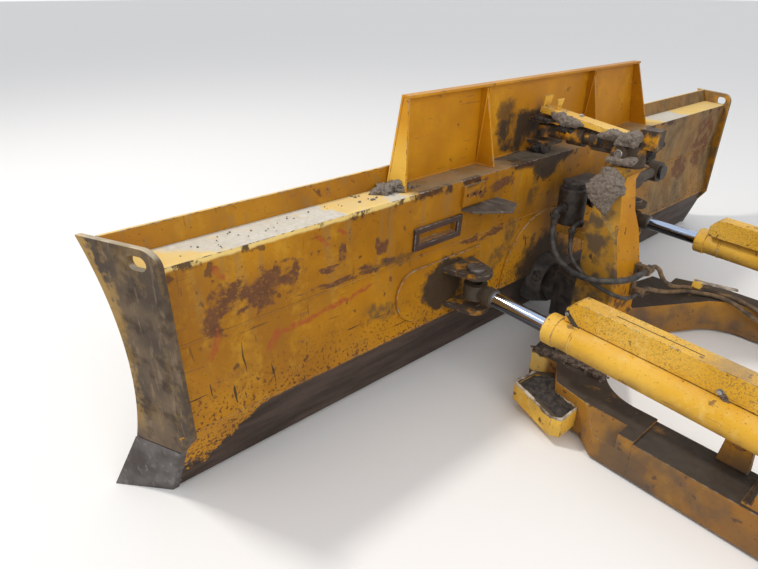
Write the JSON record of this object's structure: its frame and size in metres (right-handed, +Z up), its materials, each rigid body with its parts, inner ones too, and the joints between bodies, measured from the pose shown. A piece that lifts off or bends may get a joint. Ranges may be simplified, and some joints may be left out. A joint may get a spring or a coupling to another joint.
{
  "type": "bulldozer power-angle and tilt blade with push frame",
  "caption": "Curved bulldozer blade with spill guard on a horseshoe push frame, with tower, top link, tilt cylinder, two angle cylinders, hoses and steel lines.",
  "frame": {"origin": "middle of the common axis of the two rear pivot bores", "axes": "+X forward to the blade's face, +Y to the machine's left along the pivot bores, +Z up"},
  "size_m": [2.5653, 4.064, 1.15],
  "materials": {
    "paint": "worn amber paint with rust and dust",
    "bare_edge": "ground bare and browned by soil",
    "greased": "dark with grease",
    "chrome_rod": "polished",
    "worn_plate": "brown worn plate",
    "pin_steel": "dull",
    "hose": "dusty black rubber",
    "line": "dirty paint"
  },
  "bodies": {
    "c_frame": {"cross_member": "paint", "left_arm": "paint", "right_arm": "paint", "left_corner_guard": "paint", "right_corner_guard": "paint", "left_cylinder_bracket": "paint", "right_cylinder_bracket": "paint", "nose_socket": "greased", "lift_eyes": "paint", "tower": "paint", "swivel_drum": "greased", "hose_fittings": "greased", "hose_clamp": "paint", "thick_hose": "hose", "thin_hose": "hose", "steel_lines": "line"},
    "swivel": {"centre_ball": "greased", "swivel_arm": "greased"},
    "blade": {"moldboard": "paint", "skirt": "paint", "lower_back_box": "paint", "upper_back_box": "paint", "cutting_edge_left": "bare_edge", "cutting_edge_centre": "bare_edge", "cutting_edge_right": "bare_edge", "left_end_plate": "paint", "right_end_plate": "paint", "left_end_bit": "bare_edge", "right_end_bit": "bare_edge", "spill_guard": "paint", "spill_guard_gussets": "paint", "clevis_doublers": "paint", "left_clevis": "paint", "right_clevis": "paint", "left_blade_pin": "pin_steel", "right_blade_pin": "pin_steel", "centre_doubler": "paint", "blade_socket": "greased", "top_link_clevis": "paint", "pocket_frame": "paint", "step_plate": "worn_plate", "bolt_plate": "paint", "tilt_stud": "greased"},
    "tilt_barrel": {"tilt_barrel": "paint"},
    "tilt_rod": {"tilt_rod": "chrome_rod"},
    "link_knuckle": {"link_knuckle": "greased"},
    "top_link": {"top_link": "greased", "top_link_guard": "paint"},
    "left_angle_barrel": {"left_angle_barrel": "paint", "left_cylinder_cover": "paint"},
    "left_angle_rod": {"left_angle_rod": "chrome_rod"},
    "right_angle_barrel": {"right_angle_barrel": "paint", "right_cylinder_cover": "paint"},
    "right_angle_rod": {"right_angle_rod": "chrome_rod"}
  },
  "joints": [
    {"name": "blade_angle", "type": "hinge", "parent": "c_frame", "child": "swivel", "pos_m": [2.165, 0, -0.21], "axis": [0, 0, 1], "range_deg": [-22, 22]},
    {"name": "blade_tilt", "type": "hinge", "parent": "swivel", "child": "blade", "pos_m": [2.165, 0, -0.21], "axis": [1, 0, 0], "range_deg": [-6, 6]},
    {"name": "tilt_cylinder_swing", "type": "hinge", "parent": "swivel", "child": "tilt_barrel", "pos_m": [2.165, -0.125, 0.2], "axis": [1, 0, 0], "range_deg": [-7.5, 7.5]},
    {"name": "tilt_rod_slide", "type": "slide", "parent": "tilt_barrel", "child": "tilt_rod", "axis": [0, -1, 0], "range_m": [-0.045, 0.045]},
    {"name": "top_link_swing", "type": "hinge", "parent": "c_frame", "child": "link_knuckle", "pos_m": [1.93, 0, 0.5], "axis": [0, 0, 1], "range_deg": [-9.8, 9.8]},
    {"name": "top_link_tilt_swing", "type": "hinge", "parent": "link_knuckle", "child": "top_link", "pos_m": [2.02, 0, 0.5], "axis": [0, 0, 1], "range_deg": [-13.3, 13.3]},
    {"name": "left_angle_cylinder_lift", "type": "hinge", "parent": "c_frame", "child": "left_angle_barrel", "pos_m": [0.99, 0.632, -0.068], "axis": [0, 1, 0], "range_deg": [-3.4, 3.4]},
    {"name": "left_angle_rod_slide", "type": "slide", "parent": "left_angle_barrel", "child": "left_angle_rod", "axis": [0.9993, 0, 0.0381], "range_m": [-0.238, 0.238]},
    {"name": "right_angle_cylinder_lift", "type": "hinge", "parent": "c_frame", "child": "right_angle_barrel", "pos_m": [0.99, -0.632, -0.068], "axis": [0, 1, 0], "range_deg": [-3.4, 3.4]},
    {"name": "right_angle_rod_slide", "type": "slide", "parent": "right_angle_barrel", "child": "right_angle_rod", "axis": [0.9993, 0, 0.0381], "range_m": [-0.238, 0.238]}
  ],
  "couplings": [
    {"joint": "tilt_cylinder_swing", "follows": "blade_tilt", "ratio": 1.188},
    {"joint": "tilt_rod_slide", "follows": "blade_tilt", "m_per_rad": 0.41},
    {"joint": "top_link_swing", "follows": "blade_angle", "ratio": 0.4396},
    {"joint": "top_link_tilt_swing", "follows": "blade_tilt", "ratio": -2.15},
    {"joint": "left_angle_cylinder_lift", "follows": "blade_tilt", "ratio": -0.535},
    {"joint": "left_angle_rod_slide", "follows": "blade_angle", "m_per_rad": -0.6166},
    {"joint": "right_angle_cylinder_lift", "follows": "blade_tilt", "ratio": 0.535},
    {"joint": "right_angle_rod_slide", "follows": "blade_angle", "m_per_rad": 0.6166}
  ]
}
